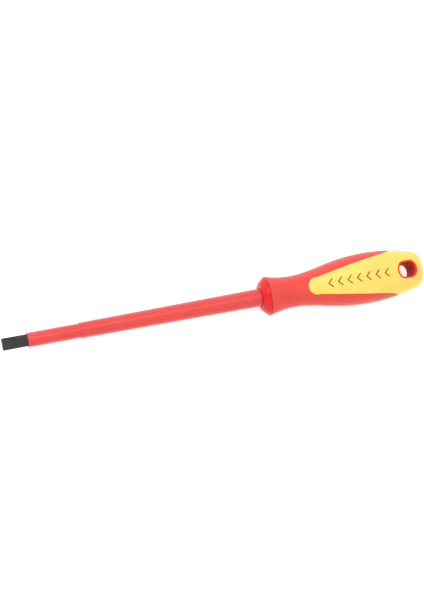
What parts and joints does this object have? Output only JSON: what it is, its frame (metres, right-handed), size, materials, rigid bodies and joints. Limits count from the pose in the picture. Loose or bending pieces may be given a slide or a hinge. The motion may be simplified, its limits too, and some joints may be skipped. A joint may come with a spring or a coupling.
{
  "type": "insulated screwdriver",
  "caption": "Insulated flat-blade screwdriver with a long sleeved blade and a two-colour, waisted handle with a hanging hole through its butt.",
  "frame": {"origin": "centre of the blade tip's end face", "axes": "+X along the tool from the blade tip to the butt; +Y across the width of the blade tip; +Z out of the yellow face that the hanging hole goes through"},
  "size_m": [0.2872, 0.0332, 0.0306],
  "materials": {
    "blade_steel": "black oxide, satin",
    "insulation": "satin-gloss moulded",
    "hard_red": "gloss moulded",
    "hard_yellow": "satin moulded",
    "soft_red": "matte soft-touch",
    "mark": "satin moulded"
  },
  "bodies": {
    "root": {"blade": "blade_steel", "inner_insulation": "insulation", "outer_insulation": "insulation", "handle_core": "hard_red", "handle_body": "hard_yellow", "soft_grip": "soft_red", "hang_hole_liner": "hard_red", "mark_inlay_top": "mark", "mark_inlay_bottom": "mark"}
  },
  "joints": []
}
